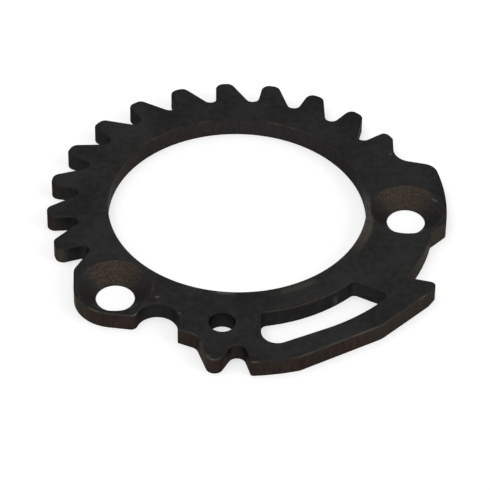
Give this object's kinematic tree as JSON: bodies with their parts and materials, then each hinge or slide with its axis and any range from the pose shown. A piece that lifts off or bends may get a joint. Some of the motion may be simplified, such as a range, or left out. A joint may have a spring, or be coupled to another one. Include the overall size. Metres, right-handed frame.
{
  "type": "locking ring",
  "caption": "Flat blackened steel locking ring with ratchet teeth beside a large bore, countersunk screw holes in lugs, and a hooked arm around a curved window.",
  "frame": {"origin": "on the bore's axis, at the underside of the plate", "axes": "+Z along the bore's axis, out of the countersunk face; +X parallel to the line through the screw holes, towards the lug beside the hook; +Y towards the ratchet teeth"},
  "size_m": [0.0655, 0.0674, 0.003],
  "materials": {
    "blackened_steel": "dull blackened steel, a little brown and bare on the cut edges and in the countersinks"
  },
  "bodies": {
    "root": {"locking_ring": "blackened_steel"}
  },
  "joints": []
}
